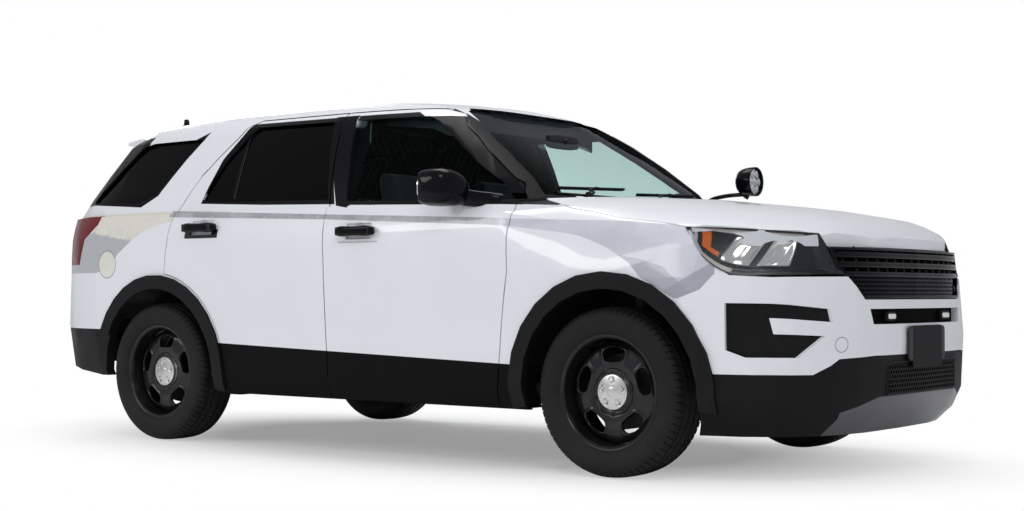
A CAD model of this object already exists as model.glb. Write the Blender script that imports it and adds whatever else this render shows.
# Looks of the patrol car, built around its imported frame. Metres: x forward, y to the left, z up.
import math

import bmesh
import bpy
import numpy as np
from mathutils import Matrix, Vector


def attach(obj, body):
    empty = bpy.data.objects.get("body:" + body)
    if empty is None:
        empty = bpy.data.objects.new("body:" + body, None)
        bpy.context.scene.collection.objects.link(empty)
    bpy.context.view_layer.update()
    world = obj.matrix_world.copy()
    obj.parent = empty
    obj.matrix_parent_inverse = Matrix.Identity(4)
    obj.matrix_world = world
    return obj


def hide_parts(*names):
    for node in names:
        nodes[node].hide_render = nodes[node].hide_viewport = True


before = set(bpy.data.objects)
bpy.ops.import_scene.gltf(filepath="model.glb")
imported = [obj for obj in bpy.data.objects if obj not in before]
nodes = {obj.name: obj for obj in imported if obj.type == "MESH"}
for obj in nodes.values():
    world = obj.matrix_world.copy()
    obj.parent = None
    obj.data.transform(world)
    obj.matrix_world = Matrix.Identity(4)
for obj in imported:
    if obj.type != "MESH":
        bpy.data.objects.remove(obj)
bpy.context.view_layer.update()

collection = bpy.context.scene.collection


class Field:  # a value that varies over a surface, so that a pattern is written as plain sums
    def __init__(self, tree, socket):
        self.tree = tree
        self.socket = socket

    def math(self, operation, *others):
        node = self.tree.nodes.new("ShaderNodeMath")
        node.operation = operation
        for slot, value in zip(node.inputs, (self, *others)):
            if isinstance(value, Field):
                self.tree.links.new(value.socket, slot)
            else:
                slot.default_value = value
        return Field(self.tree, node.outputs[0])

    def __add__(self, other):
        return self.math("ADD", other)

    def __sub__(self, other):
        return self.math("SUBTRACT", other)

    def __mul__(self, other):
        return self.math("MULTIPLY", other)

    def low(self, other):
        return self.math("MINIMUM", other)

    def high(self, other):
        return self.math("MAXIMUM", other)

    def ramp(self, first, last, start=0.0, end=1.0):  # from start at first to end at last, held outside
        node = self.tree.nodes.new("ShaderNodeMapRange")
        self.tree.links.new(self.socket, node.inputs[0])
        for slot, value in zip(node.inputs[1:5], (first, last, start, end)):
            slot.default_value = value
        return Field(self.tree, node.outputs[0])


def newMaterial(name):
    material = bpy.data.materials.new(name)
    material.use_nodes = True
    tree = material.node_tree
    return material, tree, tree.nodes["Principled BSDF"]


def placeOf(tree):  # x, y and z over the surface, and the vector itself
    coordinates = tree.nodes.new("ShaderNodeTexCoord")
    parts = tree.nodes.new("ShaderNodeSeparateXYZ")
    tree.links.new(coordinates.outputs["Object"], parts.inputs[0])
    return [Field(tree, parts.outputs[i]) for i in range(3)] + [coordinates.outputs["Object"]]


def grainOf(tree, vector, scale, detail=4.0, rough=0.55, stretch=(1, 1, 1)):
    mapping = tree.nodes.new("ShaderNodeMapping")
    mapping.inputs["Scale"].default_value = stretch
    noise = tree.nodes.new("ShaderNodeTexNoise")
    tree.links.new(vector, mapping.inputs["Vector"])
    tree.links.new(mapping.outputs[0], noise.inputs["Vector"])
    noise.inputs["Scale"].default_value = scale
    noise.inputs["Detail"].default_value = detail
    noise.inputs["Roughness"].default_value = rough
    return Field(tree, noise.outputs["Fac"])


def blendColour(tree, mask, first, second):  # first where mask is 0, second where it is 1
    mix = tree.nodes.new("ShaderNodeMix")
    mix.data_type = "RGBA"
    tree.links.new(mask.socket, mix.inputs[0])
    for slot, value in ((mix.inputs[6], first), (mix.inputs[7], second)):
        if isinstance(value, tuple):
            slot.default_value = (*value, 1)
        else:
            tree.links.new(value, slot)
    return mix.outputs[2]


def bumpOf(tree, shader, height, strength, distance):
    bump = tree.nodes.new("ShaderNodeBump")
    bump.inputs["Strength"].default_value = strength
    bump.inputs["Distance"].default_value = distance
    tree.links.new(height.socket, bump.inputs["Height"])
    tree.links.new(bump.outputs[0], shader.inputs["Normal"])


def link(field, socket):
    field.tree.links.new(field.socket, socket)


def aboveLine(x, z, start, end):  # distance in metres above the line from start to end, in the side view
    (x0, z0), (x1, z1) = start, end
    size = math.hypot(x1 - x0, z1 - z0)
    turn = 1 if x1 > x0 else -1
    return (z - z0) * ((x1 - x0) / size * turn) - (x - x0) * ((z1 - z0) / size * turn)


def insideOf(x, z, corners):  # distance inside a convex outline, in the side view
    result = None
    middle = np.mean(corners, axis=0)
    for (x0, z0), (x1, z1) in zip(corners, corners[1:] + corners[:1]):
        size = math.hypot(x1 - x0, z1 - z0)
        a, b = -(z1 - z0) / size, (x1 - x0) / size
        if a * (middle[0] - x0) + b * (middle[1] - z0) < 0:
            a, b = -a, -b
        edge = (x - x0) * a + (z - z0) * b
        result = edge if result is None else result.low(edge)
    return result


def slopes(x, height, rows):  # a bent line over x: the height, and then a rise for each (from x, to x, rise)
    return sum((x.ramp(first, last, 0, rise) for first, last, rise in rows), x * 0.0 + height)


def gapFrom(a, b, middleA, middleB):  # distance from a spot in the plane of a and b
    return ((a - middleA) * (a - middleA) + (b - middleB) * (b - middleB)).math("SQRT")


def within(value, middle, half):  # depth inside a strip that reaches half to each side of its middle
    return (value - middle).math("ABSOLUTE") * -1.0 + half


def widest(masks):  # the largest of several masks
    masks = list(masks)
    for mask in masks[1:]:
        masks[0] = masks[0].high(mask)
    return masks[0]


axles = {"front": 1.498, "rear": -1.368}  # x of each axle
hubHeight = 0.3635
paintUser = {
    "white": (0.775, 0.785, 0.825), "whiteShade": 0.965, "dust": (0.60, 0.59, 0.57),
    "grey": (0.42, 0.43, 0.45), "darkGrey": (0.30, 0.31, 0.33), "cream": (0.72, 0.70, 0.62),
    "pale": (0.60, 0.61, 0.67), "paleShade": (0.50, 0.51, 0.57), "paleFoot": (0.39, 0.40, 0.45),
    "paleTip": (0.30, 0.31, 0.36),
    "trim": (0.0055, 0.0055, 0.006), "gloss": (0.006, 0.006, 0.007), "lining": (0.028, 0.028, 0.030),
    "seam": (0.12, 0.12, 0.125), "cup": (0.20, 0.20, 0.21), "edge": 0.0015,
    # The grey band along the doors lies between two bent lines.
    "bandTop": ((-1.30, 1.212), (-0.13, 1.163), (0.937, 1.115)),
    "bandLow": ((-1.30, 1.180), (-0.13, 1.137), (0.937, 1.083)),
    "bandEnds": (-1.30, 0.935),
    # Bent lines for slopes(): the fender film's two edges and its darker foot, and the quarter film's lower edge.
    "fenderLow": (1.083, ((0.942, 1.261, -0.039), (1.261, 1.341, -0.014), (1.341, 1.425, -0.025),
                          (1.425, 1.511, -0.034), (1.511, 1.617, -0.063), (1.617, 1.671, -0.057),
                          (1.671, 1.832, -0.090), (1.850, 1.951, 0.036), (1.951, 2.005, 0.060))),
    "fenderTop": (1.115, ((0.937, 1.299, -0.014), (1.299, 1.518, -0.008))), "fenderEnds": (0.930, 2.010),
    "fenderFoot": (0.944, ((1.561, 1.670, -0.019), (1.670, 1.777, -0.030), (1.777, 1.903, -0.101))), "footStart": 1.55,
    "fenderTip": ((1.791, 0.796), (1.992, 0.905)),
    "quarterLow": (1.158, ((-1.245, -1.362, -0.014), (-1.362, -1.487, -0.038), (-1.487, -1.586, -0.050),
                           (-1.586, -1.680, -0.061), (-1.680, -1.764, -0.072), (-1.764, -1.875, -0.035))),
    "quarterTop": 1.212, "quarterStart": -1.262, "creamLine": ((-1.95, 1.120), (-1.60, 1.070)),
    "fuelDoor": (-1.780, 0.9346, 0.074),  # x, z and radius, on the right rear quarter
    "towCover": (-0.6335, 0.5765, 0.030),  # y, z and radius, on the front bumper
    "sillLine": ((-0.923, 0.527), (0.922, 0.472)), "sillEnds": (-1.20, 1.10),
    "grips": ((0.0879, 1.0752, 0.9786), (-1.0183, 1.1172, 0.9670)),  # x, z and outer face of each door's grip
    "quarterCorner": [(-2.60, 1.270), (-1.99, 1.270), (-1.66, 1.595), (-1.66, 1.640), (-2.60, 1.640)],
    "frames": (  # side-view outline of each black area, and how far the black reaches past it
        ([(-0.016, 1.215), (-0.096, 1.648), (0.37, 1.648), (0.70, 1.425), (0.885, 1.335), (1.00, 1.185)], 0.010),
        ([(-0.246, 1.648), (-0.131, 1.222), (-0.62, 1.235), (-1.075, 1.255), (-0.985, 1.47), (-0.845, 1.652)], 0.010),
        ([(-1.19, 1.618), (-2.10, 1.283), (-1.58, 1.252), (-1.45, 1.31)], 0.010),
        ([(-0.03, 1.205), (-0.12, 1.650), (-0.25, 1.650), (-0.10, 1.215)], 0.012),
        ([(0.25, 1.207), (0.25, 1.630), (0.95, 1.630), (1.17, 1.30), (1.17, 1.170)], 0.0),
        ([(0.345, 1.72), (0.478, 1.627), (1.10, 1.627), (1.10, 1.72)], 0.0),
    ),
}


def filmsOver(tree, colour, x, y, z, place, cloud, fine, streak):
    # Worn films on both flanks, cut by side-view lines: grey and cream on the rear quarter, a grey band on the doors,
    # and a pale film that widens forward on the fender under a bowed edge. Thin seams ring the fuel door and tow cover.
    user, edge = paintUser, paintUser["edge"]
    flank = y.math("ABSOLUTE").ramp(0.60, 0.61)
    blotch = grainOf(tree, place, 11.0, 6.0, 0.75)
    rear = (z - slopes(x, *user["quarterLow"])).low(z * -1.0 + user["quarterTop"]).low(x * -1.0 + user["quarterStart"])
    cream = blendColour(tree, blotch.ramp(0.48, 0.72, 0, 0.35), user["cream"], user["grey"])
    under = (aboveLine(x, z, *user["creamLine"]) * -1.0).ramp(-0.01, 0.03) + (blotch - 0.5) * 1.6
    cream = blendColour(tree, under.ramp(0.35, 0.65), cream, user["grey"])
    colour = blendColour(tree, rear.ramp(0, edge).low(flank), colour, cream)

    first, bend, last = user["bandTop"]
    top = aboveLine(x, z, first, bend).low(aboveLine(x, z, bend, last))
    first, bend, last = user["bandLow"]
    band = (top * -1.0).low(aboveLine(x, z, first, bend).high(aboveLine(x, z, bend, last)))
    band = band.low(x - user["bandEnds"][0]).low(x * -1.0 + user["bandEnds"][1])
    worn = (grainOf(tree, place, 9.0, 6.0, 0.65) + fine * 0.25).ramp(0.50, 0.72)
    film = blendColour(tree, worn, user["grey"], user["darkGrey"])
    colour = blendColour(tree, band.ramp(0, edge).low(flank), colour, film)

    wedge = (z - slopes(x, *user["fenderLow"])).low(slopes(x, *user["fenderTop"]) - z)
    wedge = wedge.low(x - user["fenderEnds"][0]).low(x * -1.0 + user["fenderEnds"][1])
    foot = (slopes(x, *user["fenderFoot"]) - z).low(x - user["footStart"])
    tip = aboveLine(x, z, *user["fenderTip"]) * -1.0
    pale = blendColour(tree, (cloud * 0.6 + streak * 0.4).ramp(0.35, 0.65), user["paleShade"], user["pale"])
    pale = blendColour(tree, foot.ramp(0, edge), pale, user["paleFoot"])
    pale = blendColour(tree, tip.ramp(0, edge) * 0.75, pale, user["paleTip"])
    colour = blendColour(tree, wedge.ramp(0, edge).low(flank), colour, pale)

    fuelX, fuelZ, fuelRadius = user["fuelDoor"]
    towY, towZ, towRadius = user["towCover"]
    fuel, tow = gapFrom(x, z, fuelX, fuelZ), gapFrom(y, z, towY, towZ)
    onRight, onNose = y.ramp(-0.90, -0.91), x.ramp(2.30, 2.31)
    cover = fuel.ramp(fuelRadius - 0.001, fuelRadius - 0.002).low(onRight) * (blotch - 0.5).ramp(-0.16, 0.0, 0.6, 0.95)
    colour = blendColour(tree, cover, colour, user["cream"])
    seam = (fuel - fuelRadius).math("ABSOLUTE").ramp(0.0032, 0.0018).low(onRight)
    seam = seam.high((tow - towRadius).math("ABSOLUTE").ramp(0.0026, 0.0014).low(onNose))
    return blendColour(tree, seam * 0.75, colour, user["seam"])


def liningMask(tree, x, y, z, under):
    # Faces turned to the cabin, and high faces whose direction points down past under, are dark lining.
    facing = tree.nodes.new("ShaderNodeTexCoord")
    turned = tree.nodes.new("ShaderNodeSeparateXYZ")
    tree.links.new(facing.outputs["Normal"], turned.inputs[0])
    inward = Field(tree, turned.outputs[1]) * y.math("SIGN") * -1.0
    cabin = x.ramp(1.05, 1.04).low(z.ramp(0.30, 0.32)).low(y.math("ABSOLUTE").ramp(0.45, 0.46))
    roof = Field(tree, turned.outputs[2]).ramp(under, under - 0.05).low(z.ramp(1.38, 1.40))
    return inward.ramp(0.30, 0.34).low(cabin).high(roof)


def paintOf(name, stripes=True, pillars=True):
    # White clear-coated paint. Side-view outlines switch it to worn films, gloss black frames and grained cladding.
    material, tree, shader = newMaterial(name)
    x, y, z, place = placeOf(tree)
    user, edge, side = paintUser, paintUser["edge"], y.math("ABSOLUTE")
    cloud = grainOf(tree, place, 3.0)
    fine = grainOf(tree, place, 60.0, 3.0)
    streak = grainOf(tree, place, 14.0, 5.0, 0.6, (1, 1, 0.15))
    shade = tuple(c * user["whiteShade"] for c in user["white"])
    colour = blendColour(tree, cloud.ramp(0.35, 0.75), user["white"], shade)
    dust = (streak * z.ramp(0.75, 0.30)).ramp(0.25, 0.75, 0.0, 0.35)
    colour = blendColour(tree, dust, colour, user["dust"])
    if stripes:
        colour = filmsOver(tree, colour, x, y, z, place, cloud, fine, streak)
    if pillars:  # seals round the side panes, the strip between the doors, the windscreen pillar and its header
        black = widest(insideOf(x, z, corners) + past for corners, past in user["frames"])
        black = black.ramp(0, edge).low(side.ramp(0.555, 0.56))
        colour = blendColour(tree, black, colour, user["gloss"])
    lining = liningMask(tree, x, y, z, -0.45 if stripes else 0.2)
    colour = blendColour(tree, lining, colour, user["lining"])
    sill = aboveLine(x, z, *user["sillLine"]) * -1.0
    sill = sill.low(x - user["sillEnds"][0]).low(x * -1.0 + user["sillEnds"][1]).ramp(0, edge)
    colour = blendColour(tree, sill, colour, user["trim"])
    # Door grips are black, and the dished cup behind each is shaded from above.
    grips = []
    for middle, height, skin in user["grips"]:
        cup = gapFrom(x, z, middle, height).ramp(0.048, 0.036) * (z - height).ramp(-0.04, 0.04, 0.25, 1.0)
        colour = blendColour(tree, cup * 0.55, colour, user["cup"])
        grips.append((side - skin - 0.003).low(within(x, middle, 0.125)).low(within(z, height, 0.055)))
    grips = widest(grips).ramp(0, edge)
    colour = blendColour(tree, grips, colour, user["gloss"])
    # Inside the wheel arches everything is black, and so is the corner between the quarter glass and the rear glass.
    wells = []
    for axle in axles.values():
        gap = gapFrom(x, z, axle, hubHeight)
        wells.append(gap.ramp(0.52, 0.515).low(side.ramp(0.93, 0.925)).high(gap.ramp(0.47, 0.465)))
    if stripes:
        wells.append(insideOf(x, z, user["quarterCorner"]).ramp(0, edge).low(side.ramp(0.600, 0.605)))
    wells = widest(wells)
    colour = blendColour(tree, wells, colour, user["gloss"])
    tree.links.new(colour, shader.inputs["Base Color"])
    link(sill.ramp(0, 1, 0.30, 0.55) + cloud.ramp(0.3, 0.8, 0.0, 0.06), shader.inputs["Roughness"])
    dull = widest([sill, grips * 0.6, wells] + ([black] if pillars else []))
    link(dull.ramp(0, 1, 0.6, 0.0), shader.inputs["Coat Weight"])
    link(dull.high(lining).ramp(0, 1, 0.5, 0.05), shader.inputs["Specular IOR Level"])
    shader.inputs["Coat Roughness"].default_value = 0.04
    bumpOf(tree, shader, grainOf(tree, place, 900.0, 2.0) * sill + fine * 0.15, 0.12, 0.0006)
    return material


def solidFinish(name, colour, rough, metal=0.0, grain=400.0, bump=0.15, spread=0.25, dust=0.0, shine=0.5, ribs=None):
    # One moulded, cast or plated finish: broad tone changes, fine grain in the bump and roughness, dust low down.
    material, tree, shader = newMaterial(name)
    x, y, z, place = placeOf(tree)
    cloud = grainOf(tree, place, 7.0, 5.0, 0.6)
    fine = grainOf(tree, place, grain, 3.0)
    dark = tuple(c * (1 - spread) for c in colour)
    light = tuple(min(c * (1 + spread), 1) for c in colour)
    tone = blendColour(tree, cloud.ramp(0.3, 0.7), dark, light)
    if dust:
        tone = blendColour(tree, (cloud * z.ramp(0.7, 0.1)).ramp(0.15, 0.6, 0, dust), tone, (0.22, 0.20, 0.18))
    tree.links.new(tone, shader.inputs["Base Color"])
    shader.inputs["Metallic"].default_value = metal
    link(cloud.ramp(0.25, 0.8, rough * 0.85, min(rough * 1.2, 1)), shader.inputs["Roughness"])
    shader.inputs["Specular IOR Level"].default_value = shine
    if ribs:  # upright ribs, as sine waves along the car and across it: (waves, height)
        wave = ((x + y) * ribs[0]).math("SINE")
        bumpOf(tree, shader, fine * bump + wave * ribs[1], 1.0, 0.0015)
    else:
        bumpOf(tree, shader, fine, bump, 0.0008)
    return material


skidUser = {
    "plate": [(-0.2, 0.20), (-0.2, 0.362), (0.40, 0.358), (0.60, 0.300), (0.60, 0.20)],  # front view, half
    "smoothFrom": 0.545, "bracketFront": 2.506, "silver": (0.115, 0.115, 0.122),
    "dark": (0.0050, 0.0050, 0.0055), "light": (0.0075, 0.0075, 0.008),
}


def skidFinish():
    # Grained black valance with a dark silver plate low in its middle. Its upper strip behind the bracket is smoother.
    material, tree, shader = newMaterial("skidFinish")
    x, y, z, place = placeOf(tree)
    user = skidUser
    fine = grainOf(tree, place, 700.0, 3.0)
    cloud = grainOf(tree, place, 9.0, 5.0, 0.6)
    plate = insideOf(y.math("ABSOLUTE"), z, user["plate"]).ramp(0, 0.002).low(x.ramp(2.30, 2.31))
    behind = (x - user["bracketFront"]).ramp(0, 0.001) * -1.0 + 1.0
    smooth = (z - user["smoothFrom"]).ramp(0, 0.002).low(behind).high(plate)
    colour = blendColour(tree, cloud.ramp(0.3, 0.7), user["dark"], user["light"])
    colour = blendColour(tree, plate, colour, user["silver"])
    tree.links.new(colour, shader.inputs["Base Color"])
    link(plate * 0.7, shader.inputs["Metallic"])
    link(smooth.ramp(0, 1, 0.55, 0.30) + cloud * 0.05, shader.inputs["Roughness"])
    link(smooth.ramp(0, 1, 0.14, 0.35), shader.inputs["Specular IOR Level"])
    bumpOf(tree, shader, fine, 0.2, 0.0008)
    return material


def glassFinish(name, tint, clear, shadow, most=1.0):
    # Flat coated glass: the share that is not reflected passes straight through, tinted. Faint smears vary the gloss.
    material, tree, shader = newMaterial(name)
    smear = grainOf(tree, placeOf(tree)[3], 4.0, 5.0, 0.7, (1, 1, 0.4))
    shader.inputs["Base Color"].default_value = (*tint, 1)
    link(smear.ramp(0.4, 0.8, 0.0, 0.03), shader.inputs["Roughness"])
    shader.inputs["IOR"].default_value = 1.45
    shader.inputs["Specular IOR Level"].default_value = 0.5
    through = tree.nodes.new("ShaderNodeBsdfTransparent")
    through.inputs[0].default_value = (*shadow, 1)
    mix = tree.nodes.new("ShaderNodeMixShader")
    fresnel = tree.nodes.new("ShaderNodeFresnel")
    fresnel.inputs["IOR"].default_value = 1.45
    # Only faces turned to the viewer mirror anything, because a flat pane's far face would mirror all at a slant.
    facing = tree.nodes.new("ShaderNodeNewGeometry")
    front = Field(tree, facing.outputs["Backfacing"]) * -1.0 + 1.0
    link(Field(tree, fresnel.outputs[0]).ramp(0, 1, 1 - clear, most) * front, mix.inputs[0])
    tree.links.new(through.outputs[0], mix.inputs[1])
    tree.links.new(shader.outputs[0], mix.inputs[2])
    tree.links.new(mix.outputs[0], tree.nodes["Material Output"].inputs[0])
    return material


def clothFinish(name, colour):
    # Woven upholstery: two crossed fine waves lift the threads, with a soft sheen and slow wear.
    material, tree, shader = newMaterial(name)
    place = placeOf(tree)[3]
    waves = []
    for turn in ((1, 0.4, 0.4), (0.4, 1, 0.9)):
        mapping = tree.nodes.new("ShaderNodeMapping")
        mapping.inputs["Scale"].default_value = turn
        wave = tree.nodes.new("ShaderNodeTexWave")
        tree.links.new(place, mapping.inputs["Vector"])
        tree.links.new(mapping.outputs[0], wave.inputs["Vector"])
        wave.inputs["Scale"].default_value = 260.0
        wave.inputs["Distortion"].default_value = 0.4
        waves.append(Field(tree, wave.outputs["Fac"]))
    wear = grainOf(tree, place, 6.0)
    tone = blendColour(tree, wear.ramp(0.35, 0.7), colour, tuple(c * 1.6 for c in colour))
    tree.links.new(tone, shader.inputs["Base Color"])
    shader.inputs["Roughness"].default_value = 0.9
    shader.inputs["Sheen Weight"].default_value = 0.3
    bumpOf(tree, shader, waves[0].high(waves[1]), 0.4, 0.0006)
    return material


print("finishes")
whitePaint = paintOf("whitePaint")
plainPaint = paintOf("plainPaint", pillars=False)
roofPaint = paintOf("roofPaint", stripes=False, pillars=False)
blackTrim = solidFinish("grainedTrim", (0.0055, 0.0055, 0.006), 0.55, grain=700, bump=0.25, dust=0.04, shine=0.16)
glossBlack = solidFinish("glossBlack", (0.003, 0.003, 0.004), 0.10, grain=60, bump=0.02, shine=0.13)
deepBlack = solidFinish("deepBlack", (0.003, 0.003, 0.003), 0.80, grain=200, bump=0.1, shine=0.05)
pressedSteel = solidFinish("blackWheelSteel", (0.006, 0.006, 0.007), 0.22, grain=160, bump=0.06, dust=0.03, shine=0.35)
ribbedTrim = solidFinish("ribbedTrim", (0.0055, 0.0055, 0.006), 0.40, grain=700, bump=0.1, shine=0.2, ribs=(620.0, 1.2))
holderGrey = solidFinish("holderGrey", (0.020, 0.020, 0.022), 0.45, grain=500, bump=0.12, shine=0.3)
paleLamp = solidFinish("paleLamp", (0.80, 0.80, 0.78), 0.20, grain=300, bump=0.1, spread=0.1)
castIron = solidFinish("castIron", (0.06, 0.052, 0.046), 0.65, 0.6, grain=220, bump=0.35, dust=0.3)
chassisPaint = solidFinish("chassisPaint", (0.008, 0.008, 0.009), 0.60, grain=150, bump=0.2, dust=0.1, shine=0.15)
cabinPlastic = solidFinish("cabinPlastic", (0.016, 0.016, 0.018), 0.60, grain=520, bump=0.25, shine=0.25)
chromePlate = solidFinish("chromePlate", (0.72, 0.72, 0.73), 0.10, 1.0, grain=90, bump=0.02, spread=0.08)
darkGlass = glassFinish("tintedGlass", (0.003, 0.003, 0.004), 0.80, (0.030, 0.032, 0.034))
clearGlass = glassFinish("screenGlass", (0.01, 0.013, 0.012), 0.99, (0.91, 0.965, 0.955))
doorGlass = glassFinish("doorGlass", (0.01, 0.012, 0.012), 0.97, (0.80, 0.905, 0.885))
darkCloth = clothFinish("darkCloth", (0.022, 0.023, 0.026))
rubber = solidFinish("tyreRubber", (0.008, 0.008, 0.0085), 0.62, grain=500, bump=0.2, dust=0.04, shine=0.20)
lampClear = glassFinish("lampCover", (0.01, 0.01, 0.01), 0.99, (0.95, 0.955, 0.96), 0.35)
capMetal = solidFinish("capMetal", (0.60, 0.59, 0.57), 0.30, 1.0, grain=130, bump=0.06, spread=0.12)
redLens = solidFinish("redLens", (0.13, 0.002, 0.004), 0.14, grain=70, bump=0.05, shine=0.10)



def panelShading(angle):  # welds the loose triangles of a packed panel and keeps edges sharper than angle hard
    group = bpy.data.node_groups.new("panelShading", "GeometryNodeTree")
    group.interface.new_socket("Geometry", in_out="INPUT", socket_type="NodeSocketGeometry")
    group.interface.new_socket("Geometry", in_out="OUTPUT", socket_type="NodeSocketGeometry")
    make = group.nodes.new
    source, result = make("NodeGroupInput"), make("NodeGroupOutput")
    weld = make("GeometryNodeMergeByDistance")
    weld.inputs["Distance"].default_value = 5e-5
    bare = make("GeometryNodeRemoveAttribute")
    bare.inputs["Name"].default_value = "custom_normal"
    faces, edges = make("GeometryNodeSetShadeSmooth"), make("GeometryNodeSetShadeSmooth")
    edges.domain = "EDGE"
    turn = make("GeometryNodeInputMeshEdgeAngle")
    soft = make("FunctionNodeCompare")
    soft.operation = "LESS_EQUAL"
    soft.inputs[1].default_value = math.radians(angle)
    group.links.new(turn.outputs[0], soft.inputs[0])
    group.links.new(soft.outputs[0], edges.inputs["Shade Smooth"])
    chain = [source, bare, weld, faces, edges, result]
    for first, second in zip(chain, chain[1:]):
        group.links.new(first.outputs[0], second.inputs[0])
    return group


shadeGroup = panelShading(32)


def dress(finish, *names):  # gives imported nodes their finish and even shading
    for name in names:
        node = nodes[name]
        node.data.materials.clear()
        node.data.materials.append(finish)
        node.modifiers.new("panelShading", "NODES").node_group = shadeGroup
        node.modifiers.new("evenNormals", "WEIGHTED_NORMAL").keep_sharp = True


def bothSides(stem):
    return [f"{stem}_right", f"{stem}_left"]


print("packed panels")
dress(whitePaint, *bothSides("door_front"), *bothSides("door_rear"), *bothSides("side_frame"), *bothSides("fender"))
dress(plainPaint, "bumper_front", "bumper_rear", "liftgate")
dress(roofPaint, "hood", "roof_panel")
dress(skidFinish(), "valance_front")
dress(blackTrim, "valance_rear", "cowl", *bothSides("arch_trim_front"), *bothSides("arch_trim_rear"))
dress(ribbedTrim, *bothSides("fog_bezel"))
dress(glossBlack, "grille", *bothSides("mirror"), "spotlight")
dress(darkGlass, *bothSides("window_rear"), *bothSides("quarter_glass"), "rear_glass")
dress(doorGlass, *bothSides("window_front"))
dress(clearGlass, "windshield")
dress(chassisPaint, "platform", "front_subframe", "rear_axle")
dress(castIron, "engine_block", *bothSides("knuckle"))
dress(cabinPlastic, "dashboard", "steering_wheel")
dress(darkCloth, *bothSides("seat"), "rear_bench")
dress(lampClear, *bothSides("headlamp"))
dress(redLens, *bothSides("tail_lamp"))
dress(rubber, *bothSides("tyre_front"), *bothSides("tyre_rear"))
dress(pressedSteel, *bothSides("wheel_front"), *bothSides("wheel_rear"))


def gridFaces(rows, columns, closeRows, closeColumns):  # one quad between each four neighbours
    i, j = np.meshgrid(np.arange(rows - (not closeRows)), np.arange(columns - (not closeColumns)), indexing="ij")
    below, beside = (i + 1) % rows, (j + 1) % columns
    corners = [i * columns + j, i * columns + beside, below * columns + beside, below * columns + j]
    return np.stack(corners, -1).reshape(-1, 4)


def ring(points):  # a grid whose columns run right round
    return points, True


def sheet(points):  # a grid that is open on all sides
    return points, False


def outwards(mesh, merge):  # turns the faces outwards, after the doubles are merged
    shape = bmesh.new()
    shape.from_mesh(mesh)
    if merge:
        bmesh.ops.remove_doubles(shape, verts=shape.verts, dist=2e-6)
        bmesh.ops.dissolve_degenerate(shape, dist=1e-7, edges=shape.edges)
    bmesh.ops.recalc_face_normals(shape, faces=shape.faces)
    shape.to_mesh(mesh)
    shape.free()


def addPiece(name, body, finish, grids, replaces=(), sharp=38, wall=0.0, tidy=True):
    # One object from grids made by ring() and sheet(), with edges sharper than an angle kept hard.
    points = np.concatenate([np.asarray(grid, float).reshape(-1, 3) for grid, closed in grids])
    faces, start = [], 0
    for grid, closed in grids:
        rows, columns = np.asarray(grid).shape[:2]
        faces.append(gridFaces(rows, columns, False, closed) + start)
        start += rows * columns
    mesh = bpy.data.meshes.new(name)
    mesh.from_pydata(points.tolist(), [], np.concatenate(faces).tolist())
    if tidy:
        outwards(mesh, merge=True)
    mesh.polygons.foreach_set("use_smooth", np.ones(len(mesh.polygons), bool))
    mesh.set_sharp_from_angle(angle=math.radians(sharp))
    item = bpy.data.objects.new(name, mesh)
    collection.objects.link(item)
    item.data.materials.append(finish)
    if wall:
        solid = item.modifiers.new("wall", "SOLIDIFY")
        solid.thickness = wall
        solid.offset = -1
    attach(item, body)
    if replaces:
        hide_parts(*replaces)
    return item


def curve(points, count):  # a smooth line through the points: Catmull-Rom cubics at even steps of the row number
    points = np.asarray(points, float)
    ends = np.vstack([2 * points[0] - points[1], points, 2 * points[-1] - points[-2]])
    t = np.linspace(0, len(points) - 1, count)
    k = np.minimum(t.astype(int), len(points) - 2)
    f = (t - k)[:, None]
    a, b, c, d = (ends[k + i] for i in range(4))
    return 0.5 * (2 * b + (c - a) * f + (2 * a - 5 * b + 4 * c - d) * f**2 + (3 * b - a - 3 * c + d) * f**3)


def circle(count):  # angles at even steps round a circle
    return np.linspace(0, math.tau, count, endpoint=False)


def placeAxis(flat, centre, axis, outward):  # lays (u, v, along) coordinates round the named axis
    u, v, along = flat[..., 0], flat[..., 1], flat[..., 2] * outward
    order = {"y": (u, along, v), "x": (along, u, v), "z": (u, v, along)}[axis]
    return np.stack(order, -1) + np.asarray(centre, float)


def turnedGrid(profile, steps, centre, axis="y", outward=-1):
    # A profile of (radius, place along the axis) turned round it: columns run round, rows along the profile.
    profile = np.asarray(profile, float)
    angle = circle(steps)
    r, a = profile[:, :1], profile[:, 1:2]
    flat = np.stack([r * np.cos(angle), r * np.sin(angle), np.broadcast_to(a, (len(profile), steps))], -1)
    return placeAxis(flat, centre, axis, outward)


def tubeGrid(path, radii, around=12, flat=1.0, upHint=(0, 0, 1)):
    # A round or flattened section carried along a path, closed to a point at both ends.
    path = np.asarray(path, float)
    radii = np.broadcast_to(np.asarray(radii, float), len(path)).copy()
    ahead = np.gradient(path, axis=0)
    ahead /= np.linalg.norm(ahead, axis=1)[:, None]
    across = np.cross(ahead, upHint)
    across /= np.linalg.norm(across, axis=1)[:, None]
    lift = np.cross(across, ahead)
    path = np.vstack([path[:1], path, path[-1:]])
    across, lift = (np.vstack([v[:1], v, v[-1:]]) for v in (across, lift))
    radii = np.concatenate([[1e-7], radii, [1e-7]])
    angle = circle(around)
    section = across[:, None] * np.cos(angle)[None, :, None] + lift[:, None] * np.sin(angle)[None, :, None] * flat
    return path[:, None] + section * radii[:, None, None]


def mirrorY(points):
    return np.asarray(points) * (1, -1, 1)


def sidesOf():  # the car's two sides, with what turns a right-hand grid into that side's
    return (("right", lambda points: points), ("left", mirrorY))


def smoothStep(value, first, last):
    t = np.clip((value - first) / (last - first), 0, 1)
    return t * t * (3 - 2 * t)


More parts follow.
